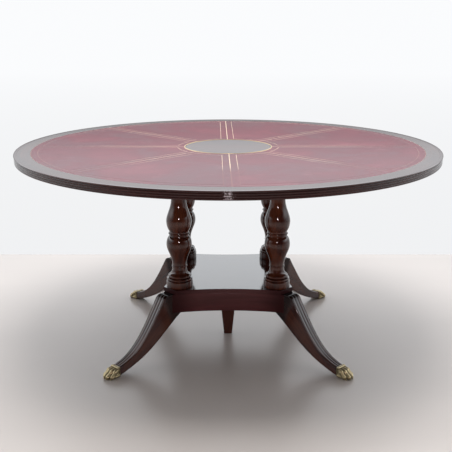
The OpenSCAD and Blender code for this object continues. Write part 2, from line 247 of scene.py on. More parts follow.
def gilt_paint():
    """Gold leaf pressed into leather, rubbed through in places."""
    p = Paint("gilt_tooling", Metallic=1.0, Roughness=0.32, Coat_Weight=0.22, Coat_Roughness=0.34)
    space = p.grain_space()
    wear = p.noise(p.stretch(space, (38, 38, 38)), 1.0, 5, 0.7)
    speck = p.noise(space, 420.0, 3, 0.6)
    axes = p.node("SeparateXYZ", Vector=space).outputs
    rubbed = p.curve(p.math("MULTIPLY_ADD", wear, 0.30, axes["Y"]), -0.24, -0.34, 0, 0.94)
    worn = p.math("MAXIMUM", p.curve(wear, 0.54, 0.72, 0, 0.7), p.curve(speck, 0.60, 0.74, 0, 0.4))
    flat = p.node("CombineXYZ", X=axes["X"], Y=axes["Y"]).outputs[0]
    reach = p.node("VectorMath", Vector=flat)
    reach.operation = "LENGTH"
    outward = p.math("MULTIPLY_ADD", p.math("MAXIMUM", axes["Y"], 0.0), -0.5, reach.outputs["Value"])
    faded = p.curve(p.math("MULTIPLY_ADD", wear, 0.30, outward), 0.50, 0.72, 0, 0.88)
    gone = p.math("MAXIMUM", p.math("MAXIMUM", rubbed, faded), worn)
    p.link("Base Color", p.mix(gone, (0.90, 0.69, 0.44), (0.15, 0.043, 0.054)))
    p.link("Metallic", p.math("SUBTRACT", 1.0, gone))
    shine = p.curve(speck, 0.3, 0.7, 0.24, 0.42)
    p.link("Roughness", p.math("MULTIPLY_ADD", gone, 0.25, shine))
    p.link("Normal", p.bump(speck, 0.3, 0.0002))
    return p.mat


def brass_paint(name, own_attribute=True, bright=(0.40, 0.325, 0.185), dull=(0.060, 0.050, 0.024),
                rough=0.34):
    """Cast brass: dark in the hollows, rubbed bright on the high places."""
    p = Paint(name, Metallic=0.92)
    space = p.grain_space(own_attribute)
    mottle = p.noise(p.stretch(space, (90, 90, 90)), 1.0, 5, 0.65)
    grit = p.noise(space, 900.0, 3, 0.6)
    height = mottle
    if own_attribute:
        uneven = p.math("MULTIPLY", p.math("SUBTRACT", mottle, 0.5), 0.55)
        height = p.math("ADD", p.attribute("raised", "Fac"), uneven)
    polish = p.curve(height, 0.25, 0.75)
    tint = p.mix(polish, dull, bright)
    tint = p.mix(p.curve(grit, 0.55, 0.75, 0, 0.35), tint, (0.07, 0.06, 0.03))
    p.link("Base Color", tint)
    p.link("Roughness", p.curve(polish, 0.0, 1.0, rough + 0.25, rough - 0.05))
    p.link("Normal", p.bump(grit, 0.35, 0.0003))
    return p.mat


def plain_wood(name, dark, light, along="x"):
    """Unpolished secondary wood seen only from below, in the frame's own coordinates."""
    p = Paint(name, IOR=1.45)
    space = p.grain_space(False)
    wide = tuple(3 if axis == along else 45 for axis in "xyz")
    fine = tuple(30 if axis == along else 800 for axis in "xyz")
    bands = p.noise(p.stretch(space, wide), 1.0, 5, 0.6, 0.5)
    flecks = p.noise(p.stretch(space, fine), 1.0, 3, 0.6)
    tint = p.ramp(bands, [(0.32, dark), (0.68, light)])
    tint = p.mix(p.curve(flecks, 0.55, 0.72, 0, 0.45), tint, tuple(0.55 * c for c in dark))
    p.link("Base Color", tint)
    p.link("Roughness", p.curve(bands, 0.3, 0.7, 0.52, 0.70))
    p.link("Normal", p.bump(flecks, 0.3, 0.0003))
    return p.mat


def board_paint(name):
    """Stained chip core under the top: pressed flakes under a thin brown wash."""
    p = Paint(name, IOR=1.45)
    space = p.grain_space(False)
    flakes = p.node("TexVoronoi", Vector=p.stretch(space, (170, 320, 170)), Scale=1.0)
    stain = p.noise(p.stretch(space, (4, 7, 4)), 1.0, 4, 0.6)
    grey = p.node("RGBToBW", Color=flakes.outputs["Color"]).outputs[0]
    tint = p.ramp(grey, [(0.15, (0.060, 0.026, 0.014)), (0.55, (0.105, 0.050, 0.026)),
                         (0.9, (0.155, 0.080, 0.042))])
    tint = p.mix(p.curve(stain, 0.35, 0.7, 0, 0.5), tint, (0.055, 0.022, 0.012))
    p.link("Base Color", tint)
    p.link("Roughness", p.curve(grey, 0, 1, 0.55, 0.75))
    p.link("Normal", p.bump(flakes.outputs["Distance"], 0.3, 0.0004))
    return p.mat


def steel_paint(name):
    """Zinc-plated fixings gone dull."""
    p = Paint(name, Metallic=1.0)
    space = p.grain_space(False)
    cloud = p.noise(p.stretch(space, (160, 160, 160)), 1.0, 4, 0.6)
    rust = p.noise(p.stretch(space, (420, 420, 420)), 1.0, 3, 0.6)
    tint = p.ramp(cloud, [(0.3, (0.20, 0.20, 0.19)), (0.7, (0.42, 0.42, 0.40))])
    tint = p.mix(p.curve(rust, 0.6, 0.75, 0, 0.6), tint, (0.10, 0.045, 0.02))
    p.link("Base Color", tint)
    p.link("Roughness", p.curve(cloud, 0.3, 0.7, 0.32, 0.52))
    p.link("Normal", p.bump(rust, 0.25, 0.0002))
    return p.mat


WOOD = mahogany("mahogany_polish")
RIM = mahogany("mahogany_rim", dark=(0.016, 0.0046, 0.0046), mid=(0.032, 0.0090, 0.0086),
               light=(0.058, 0.017, 0.0140), gloss=0.06, glow=0.3, coat_ior=1.42)
# lighter and greyer than the other mahogany: the difference is a painted reflection of the lit room in
# front, laid into the colour of the aprons and the platform board's edges
APRON_WOOD = mahogany("mahogany_apron", dark=(0.046, 0.0080, 0.0090), mid=(0.068, 0.0125, 0.0145),
                      light=(0.094, 0.020, 0.0200), gloss=0.16, glow=0.25, coat_ior=1.41, with_painted_shade=True)
VENEER = mahogany("mahogany_veneer", dark=(0.016, 0.0040, 0.003), mid=(0.032, 0.0078, 0.0052),
                  light=(0.064, 0.018, 0.0105), gloss=0.07, figure=1.6, coat_ior=1.5, glow=0.3)
PLATFORM_WOOD = mahogany("mahogany_platform", dark=(0.022, 0.0055, 0.004), mid=(0.040, 0.0100, 0.0070),
                         light=(0.070, 0.020, 0.0120), gloss=0.09, figure=1.2, coat_ior=1.55, glow=0.3)
LEG_WOOD = mahogany("mahogany_leg", with_painted_shade=True)
LEATHER = leather_paint()
GILT = gilt_paint()
BRASS = brass_paint("cast_brass")
STRING = brass_paint("brass_string", bright=(0.66, 0.50, 0.24), dull=(0.34, 0.24, 0.11),
                     rough=0.36)


# ---------- building blocks ----------

def piece(name, verts, faces, materials, node, face_mats=None, grain=None, raised=None,
          painted_shade=None, crease=32):
    """One mesh piece that stands for a CAD node and rides on the only body."""
    mesh = bpy.data.meshes.new(name)
    mesh.from_pydata([tuple(v) for v in verts], [], faces)
    for m in materials:
        mesh.materials.append(m)
    if face_mats is not None:
        mesh.polygons.foreach_set("material_index", face_mats)
    bm = bmesh.new()
    bm.from_mesh(mesh)
    bmesh.ops.recalc_face_normals(bm, faces=bm.faces)
    limit = math.radians(crease)
    for f in bm.faces:
        f.smooth = True
    for e in bm.edges:
        e.smooth = len(e.link_faces) == 2 and e.calc_face_angle(0) < limit
    bm.to_mesh(mesh)
    bm.free()
    store(mesh, "grain", grain if grain is not None else verts)
    for key, values in (("raised", raised), ("painted_shade", painted_shade)):
        if values is not None:
            mesh.attributes.new(key, "FLOAT", "POINT").data.foreach_set("value", values)
    ob = bpy.data.objects.new(name, mesh)
    bpy.context.scene.collection.objects.link(ob)
    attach(ob, "root")
    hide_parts(node)
    return ob


def store(mesh, key, rows):
    flat = np.array([tuple(r) for r in rows], np.float32).ravel()
    mesh.attributes.new(key, "FLOAT_VECTOR", "POINT").data.foreach_set("vector", flat)


def weighted(ob):
    """Flat faces stay flat where they meet a rounded edge."""
    m = ob.modifiers.new("weighted_normals", "WEIGHTED_NORMAL")
    m.keep_sharp = True
    m.weight = 80
    return ob


def spin(verts, degrees):
    a = math.radians(degrees)
    c, s = math.cos(a), math.sin(a)
    return [(x * c - y * s, x * s + y * c, z) for x, y, z in verts]


def clamp(t):
    return max(0.0, min(1.0, t))


def bez(p, t):
    u = 1 - t
    return tuple(u ** 3 * a + 3 * t * u * u * b + 3 * t * t * u * c + t ** 3 * d for a, b, c, d in zip(*p))


def bez_points(p, n):
    return [bez(p, i / n) for i in range(1, n + 1)]


def arc(cx, cy, rx, ry, start, end, n):
    """Points of an elliptical arc, angles in degrees from the first axis."""
    angles = [math.radians(start + (end - start) * i / n) for i in range(n + 1)]
    return [(cx + rx * math.cos(a), cy + ry * math.sin(a)) for a in angles]


def tube_faces(rows, cols, closed):
    """Quads between rings of vertices: closed joins the last ring to the first, else flat ends."""
    out = []
    for i in range(rows if closed else rows - 1):
        low, high = i * cols, (i + 1) % rows * cols
        for j in range(cols):
            k = (j + 1) % cols
            out.append((low + j, low + k, high + k, high + j))
    if not closed:
        out += [tuple(range(cols)), tuple(range((rows - 1) * cols, rows * cols))]
    return out


def ring_sector(profile, start, end, steps):
    """A closed section carried round the vertical axis, with flat ends. Grain runs round the ring."""
    verts, grain = [], []
    reach = sum(r for r, z in profile) / len(profile)
    for i in range(steps + 1):
        a = math.radians(start + (end - start) * i / steps)
        for r, z in profile:
            verts.append((r * math.cos(a), r * math.sin(a), z))
            grain.append((a * reach, r, z))
    return verts, tube_faces(steps + 1, len(profile), closed=False), grain


def lathe(profile, steps):
    """A profile from axis to axis turned round the vertical axis."""
    circle = [(math.cos(math.tau * k / steps), math.sin(math.tau * k / steps)) for k in range(steps)]
    verts, rows = [], []
    for r, z in profile:
        if r < 1e-7:
            rows.append([len(verts)])
            verts.append((0, 0, z))
        else:
            rows.append(list(range(len(verts), len(verts) + steps)))
            verts += [(r * c, r * s, z) for c, s in circle]
    faces = []
    for low, high in zip(rows, rows[1:]):
        for k in range(steps):
            a, b = low[k % len(low)], low[(k + 1) % len(low)]
            c, d = high[(k + 1) % len(high)], high[k % len(high)]
            corners = []
            for v in (a, b, c, d):
                if v not in corners:
                    corners.append(v)
            if len(corners) > 2:
                faces.append(tuple(corners))
    return verts, faces


# ---------- the top ----------

def edge_profile():
    """Rebate for the veneer inside; outside, a small rounded lip over a quirk and three shallow reeds."""
    lip_r, quirk = 0.0027, TOP_R - 0.0033
    pts = [(CORE_R, CORE_BOT), (CORE_R, CORE_TOP), (TOP_R - EDGE_LIP, CORE_TOP), (TOP_R - EDGE_LIP, TOP_Z)]
    pts += arc(TOP_R - lip_r, TOP_Z - lip_r, lip_r, lip_r, 90, -64, 14)
    pts += [(quirk, TOP_Z - 0.0055), (quirk, TOP_Z - 0.0062)]
    reed = (TOP_Z - EDGE_LIP_H - CORE_BOT) / EDGE_REEDS
    for k in range(EDGE_REEDS):
        mid, back = TOP_Z - EDGE_LIP_H - reed * (k + 0.5), 0.0024 + 0.0003 * k
        end = -90 if k == EDGE_REEDS - 1 else -84
        pts += arc(TOP_R - back, mid, 0.0016, 0.48 * reed, 84, end, 14)
    return pts


for side, turn in SIDES.items():
    verts, faces, grain = ring_sector(edge_profile(), turn - 45, turn + 45, QUARTER_STEPS)
    piece(f"edge_moulding_{side}_reeded", verts, faces, [RIM], f"edge_moulding_{side}",
          grain=grain)


def flat_ring(r_in, r_out, z0, z1, soft=0.0003, margin=0.004):
    """Section of a flat facing with softened upper edges."""
    return [(r_in, z0), (r_in, z1 - soft), (r_in + soft * 0.3, z1 - soft * 0.3), (r_in + soft, z1),
            (r_in + margin, z1), (r_out - margin, z1),
            (r_out - soft, z1), (r_out - soft * 0.3, z1 - soft * 0.3), (r_out, z1 - soft), (r_out, z0)]


for side, turn in SIDES.items():
    section = flat_ring(LEATHER_R, TOP_R - EDGE_LIP, CORE_TOP, TOP_Z)
    verts, faces, grain = ring_sector(section, turn - 45, turn + 45, QUARTER_STEPS)
    weighted(piece(f"border_veneer_{side}_polished", verts, faces, [VENEER],
                   f"border_veneer_{side}", grain=grain))

SEAM_GOLD = 0.0013
OUTER_GOLD = 0.0018
FRAME_GOLD = (0.0242, 0.0256)
GROOVE = 0.00007
LIP = 0.00030
MARKS = 8


def gold_marks(width, edge_dip):
    """Where the gold lies along a panel's edge: (distance in, depth in grooves), edge line then frame."""
    near, far = FRAME_GOLD
    return [(0.0, edge_dip), (0.0003, -1), (width, -1), (width + LIP, 0),
            (near - LIP, 0), (near, -1), (far, -1), (far + LIP, 0)]


def leather_panel(index):
    """One tooled panel: a closed pad with gold pressed in along every edge and round one frame."""
    half = math.pi / PANELS
    middle = PATTERN_TURN + (2 * index - 1) * half
    side_marks = gold_marks(SEAM_GOLD, -1.6)
    across, along = 14, 34
    rows = [(STRING_R + d, dip) for d, dip in gold_marks(SEAM_GOLD, -1.2)]
    first, last = rows[-1][0], LEATHER_R - side_marks[-1][0]
    rows += [(first + (last - first) * i / along, 0) for i in range(1, along)]
    rows += [(LEATHER_R - d, dip) for d, dip in reversed(gold_marks(OUTER_GOLD, -1.2))]
    n_rows, n_cols = len(rows), 2 * MARKS + across - 1
    verts, grain = [], []
    for i, (r, row_dip) in enumerate(rows):
        angles = [(-half + math.asin(d / r), dip) for d, dip in side_marks]
        inside = -angles[-1][0]
        angles += [(-inside + 2 * inside * k / across, 0) for k in range(1, across)]
        angles += [(half - math.asin(d / r), dip) for d, dip in reversed(side_marks)]
        edge_row, framed_row = i <= 3 or i >= n_rows - 4, 5 <= i <= n_rows - 6
        for j, (angle, col_dip) in enumerate(angles):
            edge_col, framed_col = j <= 3 or j >= n_cols - 4, 5 <= j <= n_cols - 6
            dip = min(col_dip if edge_col or framed_row else 0.0, row_dip if edge_row or framed_col else 0.0)
            x, y = r * math.cos(middle + angle), r * math.sin(middle + angle)
            pad = 0.00010 * noise.noise(Vector((x * 9, y * 9, 2.0)))
            pad += 0.00004 * noise.noise(Vector((x * 60, y * 60, 5.0)))
            verts.append((x, y, LEATHER_Z + 0.00012 + dip * GROOVE + pad))
            grain.append((x, y, 0.1 * index))
    faces, gold = [], []
    for i in range(n_rows - 1):
        for j in range(n_cols - 1):
            k = i * n_cols + j
            faces.append((k, k + 1, k + n_cols + 1, k + n_cols))
            edge = j in (0, 1, n_cols - 3, n_cols - 2) or i in (0, 1, n_rows - 3, n_rows - 2)
            frame_col = j in (5, n_cols - 7) and 5 <= i <= n_rows - 7
            frame_row = i in (5, n_rows - 7) and 5 <= j <= n_cols - 7
            gold.append(int(edge or frame_col or frame_row))
    # walls and underside
    border = list(range(n_cols)) + [i * n_cols + n_cols - 1 for i in range(1, n_rows)]
    border += [(n_rows - 1) * n_cols + j for j in range(n_cols - 2, -1, -1)]
    border += [i * n_cols for i in range(n_rows - 2, 0, -1)]
    base, count = len(verts), len(border)
    verts += [(verts[k][0], verts[k][1], CORE_TOP) for k in border]
    grain += [(verts[k][0], verts[k][1], 0.1 * index - 0.001) for k in border]
    for k in range(count):
        after = (k + 1) % count
        faces.append((border[k], border[after], base + after, base + k))
    faces.append(tuple(range(base, base + count)))
    gold += [0] * (count + 1)
    piece(f"leather_panel_{index}_tooled", verts, faces, [LEATHER, GILT],
          f"leather_panel_{index}", face_mats=gold, grain=grain, crease=60)


for number in range(1, PANELS + 1):
    leather_panel(number)


def centre_disc():
    top = TOP_Z + 0.0001
    profile = [(0, CORE_TOP), (DISC_R, CORE_TOP), (DISC_R, top - 0.0006), (DISC_R - 0.0002, top - 0.0002),
               (DISC_R - 0.0006, top)]
    profile += [(DISC_R * f, top) for f in (0.97, 0.85, 0.7, 0.5, 0.3, 0.1, 0)]
    verts, faces = lathe(profile, 192)
    grain = [(x, y + 0.4, z) for x, y, z in verts]
    piece("centre_disc_polished", verts, faces, [VENEER], "centre_disc", grain=grain)


def disc_string():
    mid, half = (DISC_R + STRING_R) / 2, (STRING_R - DISC_R) / 2
    profile = [(DISC_R, CORE_TOP)] + arc(mid, TOP_Z - 0.0002, half, 0.0009, 180, 0, 10)
    profile += [(STRING_R, CORE_TOP)]
    verts = []
    steps = 256
    for k in range(steps):
        a = math.tau * k / steps
        verts += [(r * math.cos(a), r * math.sin(a), z) for r, z in profile]
    raised = [0.75 + 0.25 * noise.noise(Vector(v) * 30) for v in verts]
    piece("disc_string_beaded", verts, tube_faces(steps, len(profile), closed=True), [STRING],
          "disc_string", raised=raised)


centre_disc()
disc_string()


# ---------- columns ----------

def bead(r, z, h, d, n=14):
    return [(r + d * math.sin(math.pi * i / n), z - h * math.cos(math.pi * i / n)) for i in range(n + 1)]


def turning():
    """The column's outline in millimetres above the platform, from the foot tenon to the top tenon."""
    p = [(0, -38), (15, -38), (15, 0), (47.2, 0), (47.8, 0.3), (48, 1), (48, 21.6)]
    p += bez_points(((48, 21.6), (48, 24.5), (46.6, 25.7), (44.6, 26.0)), 6)
    p += [(43.4, 26.3)] + bead(43.4, 31, 4.5, 3.1)
    p += [(41.0, 35.7), (38.6, 36)] + bead(38.5, 41.3, 5.1, 3.2)
    p += [(38.2, 46.7), (38, 47)]
    p += bez_points(((38, 47.6), (30, 50), (26, 60), (26, 74)), 16)
    p += bead(26, 78, 3, 1.8, 10)
    p += bez_points(((26.1, 82), (26.3, 84), (26.2, 86), (26.3, 88)), 3)
    p += bez_points(((26.3, 88), (28, 118), (46, 138), (46, 160)), 32)
    p += bez_points(((46, 160), (46, 176), (41, 186), (35.5, 191)), 18)
    p += [(35.1, 191.6), (35.1, 196.6), (35.5, 197)]
    p += bead(35.8, 200.5, 2.4, 2.3, 10)
    p += [(35.4, 203.4), (35.1, 204), (35.1, 210.4)]
    p += bez_points(((35.5, 211), (40, 216), (45.4, 230), (45.4, 246)), 18)
    p += bez_points(((45.4, 246), (45.4, 268), (28.5, 292), (27, 321)), 32)
    p += bez_points(((27, 321), (25.5, 340), (24, 350), (24, 362)), 10)
    p += bead(24, 368, 4, 3.5, 12)
    p += bez_points(((24, 373), (24, 392), (30, 398), (38, 402)), 14)
    p += [(39.6, 402.3), (40, 402.8), (40, 405.6)]
    p += bead(40, 413, 7, 3, 14)
    p += [(40, 420), (14, 420), (14, 448), (0, 448)]
    return [(r / 1000, BOARD_TOP + z / 1000) for r, z in p]


def column(place, sx, sy, turn):
    """A column sx, sy from the middle, with its own piece of timber turned to one side."""
    verts, faces = lathe(turning(), 144)
    grain = [(z, x + 0.3 * sx, y + 0.2 * sy) for x, y, z in spin(verts, turn)]
    verts = [(x + sx * COLUMN_POS, y + sy * COLUMN_POS, z) for x, y, z in verts]
    piece(f"column_{place}_turned", verts, faces, [WOOD], f"column_{place}", grain=grain,
          crease=38)


column("front_left", -1, -1, 20)
column("front_right", 1, -1, 75)
column("back_left", -1, 1, 140)
column("back_right", 1, 1, 255)


# ---------- platform ----------

def board_outline(inset=0.0):
    """Plan of the platform board, moved inwards by inset: four hollow sides and four cut corners."""
    pts = []
    reach = HOLLOW_R + inset
    cut = (SIDE_HALF + SHOULDER) / math.sqrt(2) - inset
    # the hollow side meets the cut corner where x + |y| = cut * sqrt(2)
    end = math.pi / 4 + math.asin((cut * math.sqrt(2) - HOLLOW_Y) / (reach * math.sqrt(2)))
    for turn in range(4):
        side = []
        for i in range(SIDE_STEPS + 1):
            a = -end + 2 * end * i / SIDE_STEPS
            side.append((reach * math.sin(a), -HOLLOW_Y + reach * math.cos(a), 0))
        pts += spin(side, 90 * turn)
    return [(x, y) for x, y, z in pts]


def platform_board():
    """Polished on top, like the aprons at its edges, with painted shade darkening those edges towards the
    cut corners.
    """
    top, low = 0.0014, 0.0010
    levels = [(low * (1 - math.sin(a)), BOARD_BOT + low * (1 - math.cos(a)))
              for a in [math.pi / 2 * k / 4 for k in range(5)]]
    levels += [(top * (1 - math.cos(a)), BOARD_TOP - top + top * math.sin(a))
               for a in [math.pi / 2 * k / 8 for k in range(9)]]
    verts = [(x, y, z) for inset, z in levels for x, y in board_outline(inset)]
    faces = tube_faces(len(levels), len(verts) // len(levels), closed=False)
    face_mats = [1] * (len(faces) - 1) + [0]
    grain = [(x, y + 1.3, z) for x, y, z in verts]
    # painted shade along the board's edges, strongest at the cut corners where the legs meet it
    painted_shade = [abs(2 * i / SIDE_STEPS - 1) for i in range(SIDE_STEPS + 1)] * (4 * len(levels))
    weighted(piece("platform_board_moulded", verts, faces, [PLATFORM_WOOD, APRON_WOOD],
                   "platform_board", face_mats=face_mats, grain=grain, painted_shade=painted_shade,
                   crease=50))


platform_board()


def apron(side, turn):
    """A hollow apron with softened edges, mitred to the cheeks of both legs, with painted shade at its ends
    beside the legs.
    """
    reach = LEG_W_TOP / math.sqrt(2)
    outer, inner = HOLLOW_R + OVERHANG, HOLLOW_R + OVERHANG + APRON_T
    soft = 0.0016
    section = []
    for rho, z, a0 in ((outer + soft, PLATFORM_Z + soft, 180), (inner - soft, PLATFORM_Z + soft, 270),
                       (inner - soft, BOARD_BOT - soft, 0), (outer + soft, BOARD_BOT - soft, 90)):
        section += arc(rho, z, soft, soft, a0, a0 + 90, 4)
    steps = 60
    verts, grain, painted_shade = [], [], []
    for i in range(steps + 1):
        t = -1 + 2 * i / steps
        # painted shade, growing from the middle towards both ends
        painted_shade += [abs(t)] * len(section)
        for rho, z in section:
            limit = math.acos((HOLLOW_Y - reach) / (rho * math.sqrt(2))) - math.pi / 4
            x, y = rho * math.sin(t * limit), -HOLLOW_Y + rho * math.cos(t * limit)
            verts.append((x, y, z))
            grain.append((x, rho - HOLLOW_R + 0.7 + turn * 0.01, z))
    faces = tube_faces(steps + 1, len(section), closed=False)
    weighted(piece(f"apron_{side}_shaped", spin(verts, turn), faces, [APRON_WOOD],
                   f"apron_{side}", grain=grain, painted_shade=painted_shade, crease=40))


apron("front", 0)
apron("right", 90)
apron("back", 180)
apron("left", 270)


def support_leg():
    """Square tapered leg with narrow rounded corners, a little worn at the toe."""
    corner, worn_corner = 0.0028, 0.003
    levels = 24
    foot = PROP_FOOT / 2
    rows = [(foot - 0.0018, worn_corner, 0.0), (foot + 0.0004, worn_corner, 0.0022)]
    for i in range(1, levels + 1):
        t = i / levels
        rows.append(((PROP_FOOT + (PROP_TOP - PROP_FOOT) * t) / 2, corner, PLATFORM_Z * t))
    verts = []
    for half, c, z in rows:
        for cx, cy, a0 in ((1, 1, 0), (-1, 1, 90), (-1, -1, 180), (1, -1, 270)):
            verts += [(x, y, z) for x, y in arc(cx * (half - c), cy * (half - c), c, c, a0, a0 + 90, 3)]
    grain = [(z, x + 2.1, y) for x, y, z in verts]
    faces = tube_faces(len(rows), len(verts) // len(rows), closed=False)
    weighted(piece("support_leg_tapered", verts, faces, [WOOD], "support_leg", grain=grain,
                   crease=40))


support_leg()


# ---------- legs ----------

LEG_IN = 0.268
HEEL_IN, HEEL_OUT = 0.318, 0.344
HEEL = ((HEEL_IN, BOARD_BOT), (0.330, BOARD_BOT), (0.338, 0.239), (HEEL_OUT, 0.232))
FACE = ((HEEL_OUT, 0.232), (0.408, 0.135), (0.453, 0.053), (CAP_X, 0.034))
UNDER = ((LEG_IN, 0.162), (0.346, 0.118), (0.391, 0.045), (CAP_X, 0.004))
HEEL_AT, FACE_AT = 1 / 23, 5 / 23
REED_DEPTH = 0.0016
REED_START, REED_RUN = 0.3265, 0.012
# where the painted shade on a leg fades out, running from the heel under the platform
SHADE_START, SHADE_RUN = 0.334, 0.035
MARGIN = 0.13
LEG_ACROSS = 84
LEG_DOWN = (0.08, 0.3, 0.55, 0.8, 0.95)
LEG_SOFT = 0.0018
LEG_LEAN = math.radians(-38)


def leg_stations():
    """(point on the upper face, point on the underside) along the leg."""
    tops = [((LEG_IN + (HEEL_IN - LEG_IN) * i / 4, BOARD_BOT), HEEL_AT * i / 4) for i in range(5)]
    tops += [(bez(HEEL, i / 14), HEEL_AT + (FACE_AT - HEEL_AT) * i / 14) for i in range(1, 15)]
    tops += [(bez(FACE, i / 72), FACE_AT + (1 - FACE_AT) * i / 72) for i in range(1, 73)]
    return [(top, bez(UNDER, t)) for top, t in tops]


def reeds(u, strength):
    """Height of the face at u, from -1 to 1 across: flat margins, and three half-round reeds."""
    inside = 1 - MARGIN
    if abs(u) >= inside:
        return 0.0
    v = (u / inside * 1.5 + 1.5) % 1.0 * 2 - 1
    return REED_DEPTH * strength * (math.sqrt(max(0.0, 1 - (0.985 * v) ** 2)) - 1.0)


def leg_ring(top, under, normal, half, strength):
    """A cross-section: the reeded upper face, one cheek, the rounded underside, the other cheek."""
    (tx, tz), (ux, uz), (nx, nz) = top, under, normal
    depth = math.hypot(ux - tx, uz - tz)
    dx, dz = (ux - tx) / depth, (uz - tz) / depth
    ring = []
    for j in range(LEG_ACROSS + 1):
        u = -1 + 2 * j / LEG_ACROSS
        over = max(0.0, abs(u * half) - (half - LEG_SOFT)) / LEG_SOFT
        drop = LEG_SOFT * (1 - math.sqrt(max(0.0, 1 - over * over)))
        h = reeds(u, strength) - drop
        ring.append((tx + nx * h, u * half, tz + nz * h))
    cheek = [(tx + dx * depth * f, half, tz + dz * depth * f) for f in LEG_DOWN]
    for a in (math.pi / 6, math.pi / 3, math.pi / 2):
        back = LEG_SOFT * (1 - math.sin(a))
        cheek.append((ux - dx * back, half - LEG_SOFT * (1 - math.cos(a)), uz - dz * back))
    return ring + cheek + [(x, -y, z) for x, y, z in reversed(cheek)]


def leg(place, turn):
    """A sabre leg; the grain follows its slope, and painted shade darkens it where it meets the platform."""
    stations = leg_stations()
    verts, painted_shade = [], []
    for i, (top, under) in enumerate(stations):
        ax, az = stations[max(i - 1, 0)][0]
        bx, bz = stations[min(i + 1, len(stations) - 1)][0]
        run = math.hypot(bx - ax, bz - az)
        taper = clamp((top[0] - HEEL_OUT) / (CAP_X - HEEL_OUT))
        width = LEG_W_TOP + (LEG_W_FOOT - LEG_W_TOP) * taper
        grow = clamp((top[0] - REED_START) / REED_RUN)
        ring = leg_ring(top, under, ((az - bz) / run, (bx - ax) / run), width / 2,
                        grow * grow * (3 - 2 * grow))
        verts += ring
        # painted shade, full at the heel under the platform
        painted_shade += [clamp(1.0 - (top[0] - SHADE_START) / SHADE_RUN)] * len(ring)
    c, s = math.cos(LEG_LEAN), math.sin(LEG_LEAN)
    grain = []
    for x, y, z in verts:
        lx, lz = (x - LEG_IN) * c + (z - BOARD_BOT) * s, (z - BOARD_BOT) * c - (x - LEG_IN) * s
        grain.append((lx + turn * 0.013, y + turn * 0.003, lz))
    faces = tube_faces(len(stations), len(verts) // len(stations), closed=False)
    piece(f"leg_{place}_reeded", spin(verts, turn), faces, [LEG_WOOD], f"leg_{place}",
          grain=grain, painted_shade=painted_shade, crease=44)


for place, turn in CORNERS.items():
    leg(place, turn)


# ---------- brass paws ----------

MM = 0.001
TOE_REACH = 44.5


def chain(bm, path, step=1.6):
    """Overlapping balls along a path of (point, radius), all in millimetres."""
    for (p, r), (q, s) in zip(path, path[1:]):
        p, q = Vector(p), Vector(q)
        n = max(1, int((q - p).length / step))
        for k in range(n + 1):
            t = k / n
            size = (r + (s - r) * t) * MM
            m = Matrix.Translation(p.lerp(q, t) * MM) @ Matrix.Diagonal((size, size, size, 1))
            bmesh.ops.create_icosphere(bm, subdivisions=3, radius=1.0, matrix=m)


def paw_solids(bm):
    """The paw's rough masses: four clawed toes, the webs and sole, hair, and the collar."""
    for y, tip, size in ((-18.2, 35.0, 0.9), (-6.2, 44.5, 1.0), (6.2, 44.5, 1.0), (18.2, 35.0, 0.9)):
        k = tip / TOE_REACH
        root = y * 0.80
        chain(bm, [((5, root * 0.92, 26.5), 7.0), ((14 * k, root, 26.5), 7.2 * size),
                   ((26 * k, y * 0.95, 22.5), 8.6 * size), ((34 * k, y, 16.0), 7.0 * size),
                   ((tip, y * 1.04, 8.6), 8.3 * size)])
        chain(bm, [((tip + 3.0, y * 1.05, 6.2), 3.4), ((tip + 9.0, y * 1.07, 1.6), 1.3)], 0.8)
    for y in (-12.3, 0.0, 12.3):
        chain(bm, [((9, y * 0.82, 22), 6.0), ((30, y * 0.95, 8), 6.0)])
    for y in (-15, -5, 5, 15):
        chain(bm, [((7, y, 7), 7.2), ((28, y * 1.1, 7), 7.2)])
    # locks of hair over the ankle and down its sides
    for y, rise in ((-15.5, 22.0), (-9.5, 30.0), (-3.2, 31.0), (3.2, 31.0), (9.5, 30.0), (15.5, 22.0)):
        chain(bm, [((9.5, y, rise), 2.7), ((15, y * 1.04, rise), 2.5),
                   ((21, y * 1.10, rise - 2.6), 1.0)], 1.0)
    for side in (-1, 1):
        for z in (9, 15, 21):
            chain(bm, [((7, side * 18.0, z), 2.6), ((14, side * 19.6, z - 1.5), 2.4),
                       ((22, side * 20.5, z - 4.0), 1.2)], 1.0)
    # the collar: a square band with a rolled rear edge
    half, low, high = 20.0, 1.0, 36.5
    for x0, x1, grow in ((0.0, 11.0, 0.0), (0.2, 1.6, 0.7)):
        size = Vector((x1 - x0 + 0.3, 2 * half - 0.6 + 2 * grow, high - low - 0.6 + grow)) * MM
        m = Matrix.Translation(Vector(((x0 + x1) / 2, 0, (low + high) / 2)) * MM)
        made = bmesh.ops.create_cube(bm, size=1.0, matrix=m @ Matrix.Diagonal((*size, 1)))
        edges = {e for v in made["verts"] for e in v.link_edges}
        bmesh.ops.bevel(bm, geom=list(edges), offset=1.3 * MM, segments=3, profile=0.5, affect="EDGES")


def single_skin(bm, voxel):
    """Overlapping solids remeshed to one closed, softened mesh."""
    rough = bpy.data.meshes.new("paw_rough")
    bm.to_mesh(rough)
    ob = bpy.data.objects.new("paw_rough", rough)
    bpy.context.scene.collection.objects.link(ob)
    skin = ob.modifiers.new("skin", "REMESH")
    skin.mode = "VOXEL"
    skin.voxel_size = voxel
    soft = ob.modifiers.new("soft", "SMOOTH")
    soft.factor, soft.iterations = 0.5, 3
    graph = bpy.context.evaluated_depsgraph_get()
    done = bpy.data.meshes.new_from_object(ob.evaluated_get(graph))
    bpy.data.objects.remove(ob)
    bpy.data.meshes.remove(rough)
    return done


def vertex_rows(mesh, key):
    flat = np.zeros(len(mesh.vertices) * 3, np.float32)
    mesh.vertices.foreach_get(key, flat)
    return flat.reshape(-1, 3)


